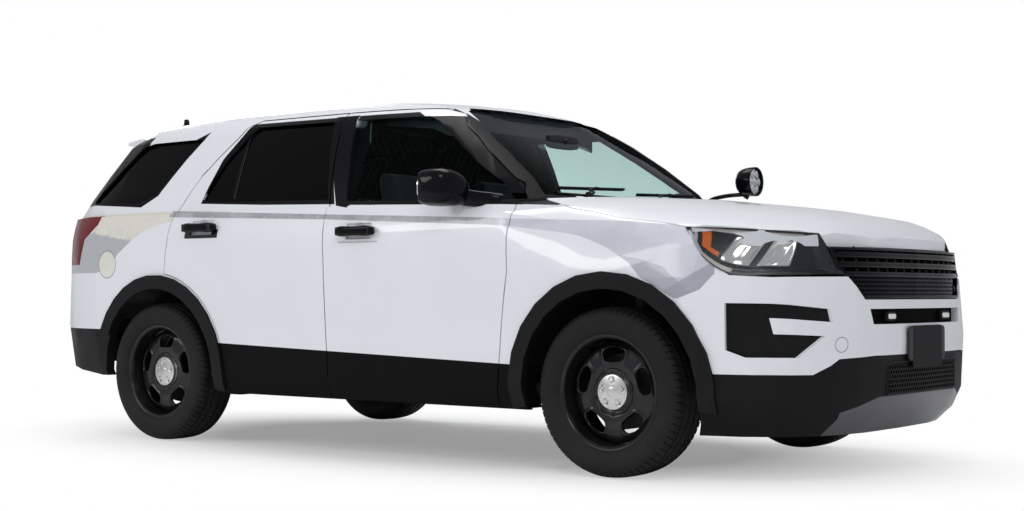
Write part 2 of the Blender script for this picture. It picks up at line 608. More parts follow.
print("tyres")
tyreUser = {
    "radius": 0.3628, "pitches": 72, "grooveDepth": 0.0075, "slotDepth": 0.006, "shoulder": 0.088, "crown": 0.0045,
    "grooves": (-0.066, -0.024, 0.024, 0.066), "grooveHalf": 0.0050, "grooveSlope": 0.0012, "skew": 0.9,
    "ringRadii": (0.3180, 0.2600), "teeth": (0.2990, 0.3130),  # raised lines and a toothed band on the sidewall
    "wall": ((0.2300, 0.0950), (0.2395, 0.0990), (0.2540, 0.1100), (0.2760, 0.1195), (0.3020, 0.1220),
             (0.3260, 0.1190), (0.3440, 0.1105), (0.3550, 0.0980)),  # radius and place across, from the bead up
}


def tyreGrid():
    # The outline runs from the inner bead over the tread to the outer bead. Rows are laid on the edges of the four
    # long grooves and columns on the edges of the cross slots, and both sink towards the axle.
    user = tyreUser
    shoulder = user["shoulder"]
    wall = curve(user["wall"], 22)
    ribs = [shoulder]
    for groove in sorted(user["grooves"], reverse=True):
        ribs += [groove + user["grooveHalf"] + e for e in (user["grooveSlope"], 0)]
        ribs += [groove - user["grooveHalf"] - e for e in (0, user["grooveSlope"])]
    ribs += [-shoulder]
    middle = sorted(set(ribs + [0.045, 0.0, -0.045, 0.078, -0.078]), reverse=True)
    crown = user["radius"] - user["crown"] * (np.abs(middle) / shoulder) ** 3.2
    profile = np.vstack([wall, np.stack([crown, middle], 1), wall[::-1] * (1, -1)])
    r, a = profile[:, 0][:, None], profile[:, 1][:, None]
    perPitch = np.array([0.0, 0.02, 0.16, 0.18, 0.45, 0.72])
    turns = ((np.arange(user["pitches"])[:, None] + perPitch) / user["pitches"]).reshape(-1)[None, :]
    part = np.tile(perPitch, user["pitches"])[None, :]
    onTread = smoothStep(r, 0.335, 0.352)  # the cross slots fade out down the shoulder
    groove = np.zeros_like(a)
    for place in user["grooves"]:
        groove = np.maximum(groove, (np.abs(a - place) <= user["grooveHalf"] + 1e-5) * 1.0)
    slot = ((part > 0.01) & (part < 0.17)) * 1.0
    slotShare = np.where(np.abs(a) > 0.070, 1.0, np.where(np.abs(a) > 0.030, 0.55, 0.35)) * (r > 0.338)
    depth = np.maximum(groove * user["grooveDepth"], slot * slotShare * user["slotDepth"] * onTread)
    high, low = user["ringRadii"]
    rings = 0.0012 * np.exp(-(((r - high) / 0.0016) ** 2)) + 0.0010 * np.exp(-(((r - low) / 0.0020) ** 2))
    teeth = 0.0005 * ((r > user["teeth"][0]) & (r < user["teeth"][1])) * (part > 0.3)
    skew = user["skew"] / user["pitches"] * np.clip(np.abs(a) / shoulder, 0, 1.15) * np.sign(a)
    angle = (turns + skew) * math.tau
    across = a + np.sign(a) * (rings + teeth)
    radial = r - depth
    return np.stack([radial * np.cos(angle), radial * np.sin(angle), np.broadcast_to(across, angle.shape)], -1)


wheelUser = {
    "windowHigh": 0.0300, "windowWide": 0.335, "windowPower": 2.7, "windows": 5,
    "sectorLow": 0.098, "sectorHigh": 0.2220, "lip": 0.0045, "steel": 0.0045, "across": 0.85,
    "capRadius": 0.0800, "nuts": 5, "nutCircle": 0.052, "nutHeight": 0.0048, "dish": 0.0026,
    "disc": ((0.0, 0.040), (0.060, 0.042), (0.088, 0.046), (0.105, 0.056), (0.130, 0.0575), (0.165, 0.0535),
             (0.192, 0.048), (0.208, 0.038), (0.2225, 0.024)),  # radius and place across
    "barrel": ((0.2224, 0.0240), (0.2205, 0.0100), (0.2205, -0.0500), (0.2210, -0.0980), (0.2440, -0.1020)),
    "rim": ((0.2224, 0.0240), (0.2215, 0.0420), (0.2240, 0.0640), (0.2285, 0.0860), (0.2330, 0.0965), (0.2400, 0.1020),
            (0.2470, 0.1028), (0.2490, 0.0995), (0.2470, 0.0955)), "rimFoot": (0.2300, 0.0950),
}


def discHeight(r):  # the pressed disc's place across, from the hub out to the barrel
    radii, heights = np.array(wheelUser["disc"]).T
    return np.interp(r, radii, heights)


def windowSectors():
    # Each fifth of the disc is a fan from its rounded window's edge out to the sector's own edge, in polar coordinates.
    user = wheelUser
    halfTurn = math.pi / user["windows"]
    rise = (user["sectorHigh"] - user["sectorLow"]) / 2
    middle = (user["sectorHigh"] + user["sectorLow"]) / 2
    corner = math.atan2(rise, halfTurn)
    quarter = np.concatenate([np.linspace(0, corner, 7)[:-1], np.linspace(corner, math.pi / 2, 7)[:-1]])
    v = np.concatenate([quarter, math.pi - quarter, math.pi + quarter, math.tau - quarter])
    v = np.unique(np.round(v % math.tau, 9))
    c, s = np.cos(v), np.sin(v)
    outer = 1 / np.maximum(np.abs(c) / halfTurn, np.abs(s) / rise)
    p = user["windowPower"]
    inner = ((np.abs(c) / user["windowWide"]) ** p + (np.abs(s) / user["windowHigh"]) ** p) ** (-1 / p)
    u = np.array([0, 0.02, 0.06, 0.12, 0.20, 0.30, 0.42, 0.56, 0.70, 0.85, 1.0])[:, None]
    reach = inner + (outer - inner) * u
    lift = user["lip"] * np.exp(-(((u - 0.14) / 0.12) ** 2)) - 0.013 * np.exp(-((u / 0.035) ** 2))
    r = middle + reach * s
    grids = []
    for k in range(user["windows"]):
        theta = math.pi / 2 + k * math.tau / user["windows"] + reach * c
        grids.append(np.stack([r * np.cos(theta), r * np.sin(theta), discHeight(r) + lift], -1))
    return grids


def capGrid():
    # A shallow plated dome: the round nuts stand up in dished rings, and the rim rolls over to the disc.
    user = wheelUser
    r = np.concatenate([[1e-6], np.linspace(0.006, 0.074, 36), [0.0765, 0.0785, 0.0798, 0.0803, 0.0800]])[:, None]
    angle = circle(200)[None, :]
    base = 0.0735 - 0.010 * (r / user["capRadius"]) ** 2 - 0.016 * smoothStep(r, 0.0740, 0.0803)
    x, z = r * np.cos(angle), r * np.sin(angle)
    height = np.broadcast_to(base, x.shape).copy()
    for k in range(user["nuts"]):
        place = math.pi / 2 + k * math.tau / user["nuts"]
        gap = np.hypot(x - user["nutCircle"] * math.cos(place), z - user["nutCircle"] * math.sin(place))
        height += user["nutHeight"] * (1 - smoothStep(gap, 0.0085, 0.0110))
        height -= user["dish"] * np.exp(-(((gap - 0.0130) / 0.0022) ** 2))
    height += 0.0016 * (1 - smoothStep(r, 0.018, 0.021))
    height[-1] = 0.044
    return np.stack([x, z, height], -1)


print("wheels")
tyreForm, sectorForms, capForm = tyreGrid(), windowSectors(), capGrid()
barrelProfile = curve(wheelUser["barrel"], 24)
rimProfile = np.vstack([curve(wheelUser["rim"], 40), [wheelUser["rimFoot"]]])
hubProfile = [(r, discHeight(r)) for r in (0.030, 0.060, 0.088, wheelUser["sectorLow"])]
for end, axle in axles.items():
    for side, outward in (("right", -1), ("left", 1)):
        centre = (axle, wheelUser["across"] * outward, hubHeight)
        wheel, tyre = f"wheel_{end}_{side}", f"tyre_{end}_{side}"
        lay = lambda flat: ring(placeAxis(flat, centre, "y", outward))
        turned = lambda profile, steps: ring(turnedGrid(profile, steps, centre, "y", outward))
        addPiece(f"tyreTread_{end}_{side}", wheel, rubber, [lay(tyreForm)], (tyre,), sharp=28)
        addPiece(f"wheelDisc_{end}_{side}", wheel, pressedSteel, [*map(lay, sectorForms), turned(hubProfile, 60)],
                 (wheel,), sharp=60, wall=wheelUser["steel"])
        addPiece(f"wheelRim_{end}_{side}", wheel, pressedSteel, [turned(rimProfile, 96), turned(barrelProfile, 96)],
                 (wheel,), sharp=50)
        addPiece(f"wheelCap_{end}_{side}", wheel, capMetal, [lay(capForm)], sharp=40)

print("mirrors and spotlight")


def ovalGrid(rows, power, around=44, flatBack=1.0, steps=None):
    # Upright rounded loops in x and z, one for each row of (x, y, z, half length, half height), joined along y.
    rows = curve(rows, steps)
    first, last = rows[:1].copy(), rows[-1:].copy()
    first[:, 3:5], last[:, 3:5] = 1e-6, 1e-6
    rows = np.vstack([first, rows, last])
    angle = circle(around)
    c, s = np.cos(angle), np.sin(angle)
    u = np.sign(c) * np.abs(c) ** (2 / power)
    w = np.sign(s) * np.abs(s) ** (2 / power)
    u = np.maximum(u, -flatBack)
    x = rows[:, :1] + rows[:, 3:4] * u[None]
    z = rows[:, 2:3] + rows[:, 4:5] * w[None]
    return np.stack([x, np.broadcast_to(rows[:, 1:2], x.shape), z], -1)


mirrorUser = {
    # Rows of x, y, z, half length and half height, from the door outwards.
    "head": ((0.690, -0.960, 1.236, 0.060, 0.040), (0.680, -0.972, 1.243, 0.082, 0.064),
             (0.668, -1.010, 1.251, 0.096, 0.078), (0.660, -1.055, 1.256, 0.098, 0.084),
             (0.653, -1.100, 1.259, 0.092, 0.081), (0.647, -1.130, 1.261, 0.074, 0.066),
             (0.643, -1.144, 1.262, 0.044, 0.042)),
    "arm": ((0.842, -0.900, 1.200, 0.070, 0.034), (0.812, -0.930, 1.203, 0.070, 0.035),
            (0.765, -0.958, 1.208, 0.062, 0.036), (0.715, -0.980, 1.218, 0.058, 0.036),
            (0.690, -1.000, 1.228, 0.050, 0.034)),
    "backShare": 0.72, "glass": (0.5885, -1.052, 1.257), "glassHalf": (0.072, 0.062), "bow": 0.0030,
}
mirrorHead = ovalGrid(mirrorUser["head"], 3.4, flatBack=mirrorUser["backShare"], steps=30)
mirrorArm = ovalGrid(mirrorUser["arm"], 2.6, around=24, steps=14)
# The glass is a slightly bowed plate with rounded corners, sunk in the flat back.
reach = np.linspace(1e-4, 1, 9)[:, None]
c, s = np.cos(circle(48))[None], np.sin(circle(48))[None]
glassY = mirrorUser["glass"][1] + mirrorUser["glassHalf"][0] * reach * np.sign(c) * np.abs(c) ** 0.72
glassHigh = mirrorUser["glass"][2] + mirrorUser["glassHalf"][1] * reach * np.sign(s) * np.abs(s) ** 0.72
glassBack = mirrorUser["glass"][0] - mirrorUser["bow"] * reach**2 + 0 * c
mirrorGlass = np.concatenate([np.stack([glassBack - 0.0035, glassY, glassHigh], -1),
                              np.stack([glassBack + 0.006, glassY, glassHigh], -1)[::-1]])
for side, toSide in sidesOf():
    door = f"door_front_{side}"
    addPiece(f"mirrorHousing_{side}", door, glossBlack, [ring(toSide(mirrorHead)), ring(toSide(mirrorArm))],
             (f"mirror_{side}",), sharp=50)
    addPiece(f"mirrorGlass_{side}", door, chromePlate, [ring(toSide(mirrorGlass))], sharp=40)

spotUser = {
    "centre": (1.132, 0.915, 1.372), "cups": 7, "cupCircle": 0.043, "cupRadius": 0.0205, "cupDepth": 0.014,
    "shell": ((1e-6, -0.054), (0.030, -0.053), (0.058, -0.040), (0.071, -0.016), (0.0765, 0.016), (0.0775, 0.038)),
    "rim": ((0.0775, 0.052), (0.0760, 0.0545), (0.0725, 0.0545), (0.0705, 0.052), (0.0700, 0.044)),
    "arm": ((0.985, 0.762, 1.268), (1.000, 0.812, 1.286), (1.050, 0.862, 1.300), (1.118, 0.905, 1.306)),
    "foot": ((1.120, 0.913, 1.286), (1.128, 0.915, 1.300), (1.132, 0.915, 1.322)),
    "lens": ((1e-6, 0.0520), (0.035, 0.0512), (0.060, 0.0495), (0.0702, 0.0475), (0.0702, 0.0455), (0.060, 0.0470),
             (1e-6, 0.0490)),
}
spotProfile = np.vstack([curve(spotUser["shell"], 26), spotUser["rim"]])
addPiece("spotShell", "body", glossBlack,
         [ring(turnedGrid(spotProfile, 56, spotUser["centre"], "x", 1)),
          ring(tubeGrid(curve(spotUser["arm"], 18), 0.011)), ring(tubeGrid(curve(spotUser["foot"], 8), 0.015))],
         ("spotlight",), sharp=45)
# The lamp face: a bright bowl with one middle cup and six round it, each a small round dish.
r = np.linspace(1e-4, 0.0700, 34)[:, None]
angle = circle(120)[None]
u, v = r * np.cos(angle), r * np.sin(angle)
depth = np.full(u.shape, 0.040)
for k in range(spotUser["cups"]):
    far = spotUser["cupCircle"] if k else 0.0
    gap = np.hypot(u - far * math.cos(k * math.tau / 6), v - far * math.sin(k * math.tau / 6))
    depth -= spotUser["cupDepth"] * np.clip(1 - (gap / spotUser["cupRadius"]) ** 2, 0, 1)
face = placeAxis(np.stack([u, v, depth], -1), spotUser["centre"], "x", 1)
addPiece("spotBowl", "body", chromePlate, [ring(face)], sharp=50)
addPiece("spotLens", "body", lampClear, [ring(turnedGrid(spotUser["lens"], 48, spotUser["centre"], "x", 1))],
         sharp=30)

print("headlamps")
lampUser = {
    "top": ((1.850, -0.893, 1.058), (2.000, -0.862, 1.052), (2.148, -0.806, 1.043), (2.262, -0.730, 1.034),
            (2.333, -0.655, 1.028)),
    "low": ((1.850, -0.894, 1.054), (1.945, -0.946, 0.945), (2.068, -0.930, 0.864), (2.220, -0.858, 0.856),
            (2.418, -0.600, 0.862)),
    "rows": 26, "columns": 90, "bulge": 0.008, "inwards": (-0.62, 0.78, 0.0), "bowls": ((0.50, 0.105), (0.735, 0.085)),
}
# p runs along the lamp from its rear tip to the grille, and q from its lower edge to its upper edge.
inwards = np.array(lampUser["inwards"])
p = np.linspace(0, 1, lampUser["columns"])[None, :]
q = np.linspace(0, 1, lampUser["rows"])[:, None]
lampTop, lampLow = (curve(lampUser[row], lampUser["columns"])[None] for row in ("top", "low"))
bulge = lampUser["bulge"] * 4 * q * (1 - q) * np.sin(math.pi * p) ** 0.5
lampSkin = lampLow * (1 - q[..., None]) + lampTop * q[..., None] - inwards * bulge[..., None]
# The housing sinks behind its rim, deepest in the two bowls, with fine steps along its foot.
rim = np.minimum(np.minimum(p * 8, (1 - p) * 8), np.minimum(q * 5, (1 - q) * 5))
sunk = smoothStep(rim, 0.0, 0.75)
bowls = np.zeros_like(p * q)
for middle, half in lampUser["bowls"]:
    bowl = np.clip(1 - ((p - middle) / half) ** 2, 0, 1) * np.clip(1 - ((q - 0.50) / 0.34) ** 2, 0, 1)
    bowls = np.maximum(bowls, bowl)
steps = 0.5 + 0.5 * np.sin(q * 46)
lampDepth = 0.004 + sunk * (0.030 + 0.020 * smoothStep(bowls, 0, 0.9)) + 0.0012 * steps * (q < 0.2) * sunk
lampInner = lampSkin + inwards * lampDepth[..., None]
lensOuter = lampSkin + inwards * 0.0008
lensInner = lampSkin + inwards * 0.0035


def lampBowlFinish():
    # Black housing; u runs along the lamp and v up it. Bright bowls, an amber corner and a pale light bar by place.
    material, tree, shader = newMaterial("lampBowl")
    spread = tree.nodes.new("ShaderNodeTexCoord")
    parts = tree.nodes.new("ShaderNodeSeparateXYZ")
    tree.links.new(spread.outputs["UV"], parts.inputs[0])
    u, v = Field(tree, parts.outputs[0]), Field(tree, parts.outputs[1])
    bright = widest(within(u, middle, half).ramp(0, 0.012) * within(v, 0.50, 0.30).ramp(0, 0.04)
                    for middle, half in lampUser["bowls"])
    amber = insideOf(u, v, [(0.13, 0.80), (0.22, 0.80), (0.30, 0.30), (0.22, 0.25)])
    amber = amber.high(insideOf(u, v, [(0.22, 0.25), (0.24, 0.36), (0.37, 0.33), (0.38, 0.22)])).ramp(0, 0.01)
    bar = within(v, 0.90, 0.055).ramp(0, 0.02) * u.ramp(0.06, 0.08) * u.ramp(0.86, 0.84)
    edge = insideOf(u, v, [(0.035, 0.95), (0.075, 0.95), (0.20, 0.07), (0.15, 0.05)]).ramp(0, 0.01)
    foot = within(v, 0.07, 0.05).ramp(0, 0.02) * u.ramp(0.14, 0.16) * u.ramp(0.52, 0.50)
    fine = grainOf(tree, spread.outputs["UV"], 60.0, 3.0, stretch=(1, 0.25, 1))
    colour = blendColour(tree, fine.ramp(0.3, 0.7), (0.005, 0.005, 0.006), (0.018, 0.018, 0.020))
    colour = blendColour(tree, bright, colour, (0.80, 0.79, 0.76))
    colour = blendColour(tree, amber, colour, (0.62, 0.13, 0.02))
    colour = blendColour(tree, widest([bar, edge, foot]), colour, (0.50, 0.48, 0.44))
    tree.links.new(colour, shader.inputs["Base Color"])
    link(bright, shader.inputs["Metallic"])
    link((bright.high(amber)).ramp(0, 1, 0.35, 0.12) + fine * 0.05, shader.inputs["Roughness"])
    bumpOf(tree, shader, (u * 150.0).math("SINE") * bright + fine, 0.25, 0.001)
    return material


lampBowl = lampBowlFinish()


def addUv(item, u, v):  # gives each corner of a grid piece its place in the grid, for patterns that follow the surface
    layer = item.data.uv_layers.new(name="spread")
    corners = np.empty(len(item.data.loops), int)
    item.data.loops.foreach_get("vertex_index", corners)
    flat = np.stack([u.reshape(-1)[corners], v.reshape(-1)[corners]], 1)
    layer.data.foreach_set("uv", flat.reshape(-1))


def edgeLoop(grid):  # the outer edge of a grid, in one round
    return np.concatenate([grid[0], grid[1:, -1], grid[-1, -2::-1], grid[-2:0:-1, 0]])


for side, toSide in sidesOf():
    housing = addPiece(f"lampHousing_{side}", "body", lampBowl, [sheet(toSide(lampInner))],
                       (f"headlamp_{side}",), sharp=60, tidy=False)
    addUv(housing, *np.broadcast_arrays(p, q))
    if side == "left":
        housing.data.flip_normals()
    wall = np.stack([edgeLoop(lensInner), edgeLoop(lampInner), edgeLoop(lampSkin + inwards * 0.060)])
    addPiece(f"lampEdge_{side}", "body", glossBlack, [ring(toSide(wall))], sharp=40)
    lens = np.stack([edgeLoop(lensOuter), edgeLoop(lensInner)])
    addPiece(f"lampLens_{side}", "body", lampClear,
             [sheet(toSide(lensOuter)), sheet(toSide(lensInner)), ring(toSide(lens))], sharp=50)

print("nose")
noseUser = {  # plan-view lines (y, x) of the grille, the bumper's slot and the valance
    "grille": ((0.0, 2.474), (0.15, 2.470), (0.30, 2.4640), (0.42, 2.4515), (0.51, 2.4345), (0.58, 2.4125),
               (0.66, 2.3740)),
    "bumper": ((0.0, 2.498), (0.15, 2.494), (0.30, 2.4890), (0.40, 2.4800), (0.50, 2.4610), (0.56, 2.4470)),
    "valance": ((0.0, 2.499), (0.15, 2.495), (0.30, 2.4895), (0.40, 2.4800), (0.50, 2.4620)),
}
noseLine, bumperLine = curve(noseUser["grille"], 60), curve(noseUser["bumper"], 50)
valanceLine = curve(noseUser["valance"], 40)


def noseX(y, z):  # the grille's front, which leans back as it rises
    return np.interp(np.abs(y), noseLine[:, 0], noseLine[:, 1]) - 0.10 * (np.asarray(z) - 0.86)


def bumperX(y, z):
    return np.interp(np.abs(y), bumperLine[:, 0], bumperLine[:, 1]) - 0.05 * (np.asarray(z) - 0.72)


def valanceX(y, z):
    return np.interp(np.abs(y), valanceLine[:, 0], valanceLine[:, 1]) + 0.0 * np.asarray(z)


def grilleHalf(z):  # half the grille's width
    return np.interp(z, [0.758, 0.800, 0.893, 0.975], [0.4960, 0.5500, 0.6180, 0.6400])


def frontSheet(lineX, y, z, stand):  # a sheet that follows a plan-view line and stands proud of it
    y, z = np.broadcast_arrays(y, z)
    return np.stack([lineX(y, z) + stand, y, z], -1)


grilleUser = {
    # Height, half height, depth and the gap to the grille's side of each bar.
    "bars": ((0.942, 0.014, 0.040, 0.012), (0.902, 0.014, 0.040, 0.012), (0.863, 0.012, 0.040, 0.012),
             (0.966, 0.006, 0.030, 0.006)),
    "foot": (0.768, 0.008, 0.026), "footHalf": 0.486, "proud": 0.004, "ribs": 15, "ribsHalf": 0.56, "ribDepth": 0.026,
    "frame": (0.764, 0.972), "cell": 0.0235, "wire": 0.0038, "backDepth": 0.050,
}


def barGrid(y, height, half, deep, around=20):
    # A blade across the car: its section is a rounded wedge, full at the front and thin behind.
    c, s = np.cos(circle(around)), np.sin(circle(around))
    u = np.where(c > 0, np.abs(c) ** 0.6 * np.sign(c) * deep * 0.35, c * deep)
    w = np.sign(s) * np.abs(s) ** 0.8 * half * np.where(c > 0, 1.0, 1.0 - 0.45 * np.abs(c))
    x = (noseX(y, height) + grilleUser["proud"])[:, None] + u[None] - deep * 0.35
    z = height + w[None] + 0 * x
    grid = np.stack([x, np.broadcast_to(y[:, None], x.shape), z], -1)
    ends = [grid[row].mean(1, keepdims=True) * np.ones((1, around, 1)) for row in (slice(0, 1), slice(-1, None))]
    return ring(np.concatenate([ends[0], grid, ends[1]]))


bars = []
for height, half, deep, gap in grilleUser["bars"]:
    reach = float(grilleHalf(height)) - gap
    bars.append(barGrid(np.linspace(-reach, reach, 61), height, half, deep))
outlineZ = np.linspace(*grilleUser["frame"], 22)
for way in (-1, 1):
    path = frontSheet(noseX, way * (grilleHalf(outlineZ) - 0.006), outlineZ, -0.004)
    bars.append(ring(tubeGrid(path, 0.0095, 12, upHint=(1, 0, 0))))
bars.append(barGrid(np.linspace(-grilleUser["footHalf"], grilleUser["footHalf"], 41), *grilleUser["foot"]))
addPiece("grilleBars", "body", glossBlack, bars, ("grille",), sharp=50)
ribs = []
for middle in np.linspace(-grilleUser["ribsHalf"], grilleUser["ribsHalf"], grilleUser["ribs"]):
    z = np.linspace(0.862, 0.968, 12)
    y = np.minimum(np.abs(middle), grilleHalf(z) - 0.01) * np.sign(middle)
    path = frontSheet(noseX, y, z, -grilleUser["ribDepth"])
    ribs.append(ring(tubeGrid(path, 0.0055, 8, upHint=(0, 1, 0), flat=2.0)))
addPiece("grilleRibs", "body", glossBlack, ribs, ("grille",), sharp=50)
z = np.linspace(0.760, 0.975, 16)[:, None]
y = np.linspace(-1, 1, 41)[None] * (grilleHalf(z) - 0.002)
addPiece("grilleBacking", "body", deepBlack, [sheet(frontSheet(noseX, y, z, -grilleUser["backDepth"]))],
         ("grille",), wall=0.003)


def cellSheet(name, finish, frontX, yHalf, zRange, size, wire, deep, halfAt=None):
    # A honeycomb: rows of six-sided rings, each one closed loop of four-cornered section. halfAt narrows it by height.
    zLow, zHigh = zRange
    rows = int((zHigh - zLow) / (size * 0.75)) + 1
    columns = int(2 * yHalf / (size * math.sqrt(3) / 2)) + 1
    i, j = np.meshgrid(np.arange(rows), np.arange(columns), indexing="ij")
    z = zLow + i * size * 0.75
    y = -yHalf + (j + 0.5 * (i % 2)) * size * math.sqrt(3) / 2
    inside = (np.abs(y) < yHalf) & (z < zHigh)
    if halfAt:
        inside &= np.abs(y) < halfAt(z) - size * 0.4
    y, z = y[inside], z[inside]
    angle = math.pi / 6 + np.arange(6) * math.pi / 3
    radii = np.array([size / 2 - wire] * 2 + [size / 2] * 2)[:, None]
    ringY, ringZ = y[:, None, None] + radii * np.cos(angle), z[:, None, None] + radii * np.sin(angle)
    sink = np.array([deep, 0.0, 0.0, deep])[:, None]
    points = np.stack([frontX(ringY, ringZ) - sink[None], ringY, ringZ], -1)
    faces = (gridFaces(4, 6, True, True)[None] + (np.arange(len(y)) * 24)[:, None, None]).reshape(-1, 4)
    mesh = bpy.data.meshes.new(name)
    mesh.from_pydata(points.reshape(-1, 3).tolist(), [], faces.tolist())
    outwards(mesh, merge=False)
    item = bpy.data.objects.new(name, mesh)
    collection.objects.link(item)
    mesh.materials.append(finish)
    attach(item, "body")


cellSheet("grilleCells", glossBlack, lambda y, z: noseX(y, z) - 0.012, 0.62, (0.778, 0.856),
          grilleUser["cell"], grilleUser["wire"], 0.014, grilleHalf)


def softBlock(centre, half, power=5.0, rows=13, around=28):
    # A box with rounded corners: loops in y and z round the centre, closing along x.
    v = np.linspace(-math.pi / 2, math.pi / 2, rows)
    shrink = lambda t: np.sign(t) * np.abs(t) ** (2 / power)
    size = np.abs(np.cos(v)) ** (2 / power)
    y = half[1] * size[:, None] * shrink(np.cos(circle(around)))[None]
    z = half[2] * size[:, None] * shrink(np.sin(circle(around)))[None]
    x = np.broadcast_to((half[0] * shrink(np.sin(v)))[:, None], y.shape)
    return np.stack([x, y, z], -1) + np.asarray(centre, float)


slotUser = {"half": 0.47, "low": 0.650, "high": 0.728, "sunk": 0.034, "light": (0.285, 0.688),
            "lightHalf": (0.012, 0.034, 0.011), "holderHalf": (0.012, 0.044, 0.019)}
slotY = np.linspace(-slotUser["half"], slotUser["half"], 61)[None]
slotZ = np.linspace(slotUser["low"], slotUser["high"], 6)[:, None]
addPiece("slotBacking", "body", deepBlack, [sheet(frontSheet(bumperX, slotY, slotZ, -slotUser["sunk"]))],
         wall=0.003)
for side, way in (("right", -1), ("left", 1)):
    y0, z0 = slotUser["light"][0] * way, slotUser["light"][1]
    x0 = float(bumperX(y0, 0.69))
    light = softBlock((x0 - 0.016, y0, z0), slotUser["lightHalf"], 6)
    holder = softBlock((x0 - 0.022, y0, z0), slotUser["holderHalf"], 6)
    addPiece(f"slotLight_{side}", "body", paleLamp, [ring(light)], sharp=40)
    addPiece(f"slotLightHolder_{side}", "body", blackTrim, [ring(holder)], sharp=40)

plateUser = {
    "front": 2.5175, "middle": 0.572, "half": (0.006, 0.192, 0.076),
    "bolts": ((-0.125, 0.600), (0.125, 0.600), (-0.155, 0.516), (0.155, 0.516), (0.0, 0.536), (0.0, 0.586)),
    "bolt": ((1e-6, -0.0040), (0.0060, -0.0036), (0.0085, 0.0000), (0.0120, 0.0004), (0.0135, -0.0020),
             (0.0135, -0.0090)),
}
plate = softBlock((plateUser["front"] - plateUser["half"][0], 0.0, plateUser["middle"]), plateUser["half"], 9, 15, 56)
addPiece("plateHolder", "body", holderGrey, [ring(plate)], sharp=40)
bolts = [ring(turnedGrid(plateUser["bolt"], 18, (plateUser["front"], y0, z0), "x", 1)) for y0, z0 in plateUser["bolts"]]
addPiece("plateBolts", "body", glossBlack, bolts, sharp=40)

openingUser = {"half": 0.352, "low": 0.366, "high": 0.498, "frame": 0.0065,
               "cell": 0.026, "wire": 0.0036, "deep": 0.006}
openZ = np.linspace(openingUser["low"], openingUser["high"], 8)[:, None]
openY = np.linspace(-1, 1, 41)[None] * openingUser["half"]
addPiece("valanceBacking", "body", deepBlack, [sheet(frontSheet(valanceX, openY, openZ, 0.0012))],
         wall=0.002)
cellSheet("valanceCells", blackTrim, lambda y, z: valanceX(y, z) + 0.0065, 0.345, (0.378, 0.490),
          openingUser["cell"], openingUser["wire"], openingUser["deep"])
corners = [(-openingUser["half"], openingUser["low"]), (openingUser["half"], openingUser["low"]),
           (openingUser["half"], openingUser["high"]), (-openingUser["half"], openingUser["high"])]
loop = [np.linspace(a, b, 20)[:-1] for a, b in zip(corners, corners[1:] + corners[:1])]
loopY, loopZ = np.concatenate(loop + [corners[:1]]).T
frameTube = tubeGrid(frontSheet(valanceX, loopY, loopZ, 0.002), openingUser["frame"], 8, upHint=(1, 0, 0))
addPiece("valanceFrame", "body", blackTrim, [ring(frameTube)], sharp=50)

print("wipers and cabin")
screenUser = {
    "z": (1.22, 1.24, 1.26, 1.30, 1.40, 1.50, 1.60), "x": (1.050, 1.031, 1.010, 0.966, 0.827, 0.676, 0.516),
    "footHalf": 0.66, "footX": 1.040, "footZ": 1.2365, "pivot": (1.062, 1.232),
    "wipers": (("right", -0.63, -0.06, -0.46), ("left", 0.02, 0.60, 0.12)),  # the blade's two ends and the pivot's y
    "knob": ((1e-6, 0.022), (0.010, 0.021), (0.015, 0.015), (0.017, 0.004), (0.017, -0.030), (1e-6, -0.030)),
}


def glassX(z):  # the windscreen's outer face in the middle of the car
    return np.interp(z, screenUser["z"], screenUser["x"])


stripY = np.linspace(-screenUser["footHalf"], screenUser["footHalf"], 45)
stripX = screenUser["footX"] - 0.020 * (np.abs(stripY) / screenUser["footHalf"]) ** 4
strip = tubeGrid(np.stack([stripX, stripY, np.full(45, screenUser["footZ"])], -1), 0.0135, 14, flat=0.55)
addPiece("screenFoot", "body", glossBlack, [ring(strip)], sharp=50)


def wiperGrids(y0, y1, pivot):
    # An arm rises from its knob to the middle of a blade that lies along the foot of the glass.
    y = np.linspace(y0, y1, 30)
    z = np.linspace(1.262, 1.284, 30)
    blade = np.stack([glassX(z) + 0.010, y, z + 0.004], -1)
    lip = np.stack([glassX(z) + 0.0035, y, z - 0.001], -1)
    x, across, high = pivot
    middle = blade[16]
    arm = curve([pivot, (x - 0.012, across + 0.06, high + 0.022), (middle[0] + 0.012, (across + middle[1]) / 2, 1.268),
                 middle + (0.004, 0, 0.004)], 26)
    tubes = [tubeGrid(blade, 0.0060, 10, upHint=(1, 0, 1)), tubeGrid(lip, 0.0025, 6, flat=2.2, upHint=(1, 0, 1)),
             tubeGrid(arm, 0.0075, 10, flat=0.7)]
    return [ring(grid) for grid in (*tubes, turnedGrid(screenUser["knob"], 20, pivot, "z", 1))]


for side, first, last, pivotY in screenUser["wipers"]:
    pivot = (screenUser["pivot"][0], pivotY, screenUser["pivot"][1])
    addPiece(f"wiper_{side}", "body", blackTrim, wiperGrids(first, last, pivot), sharp=50)

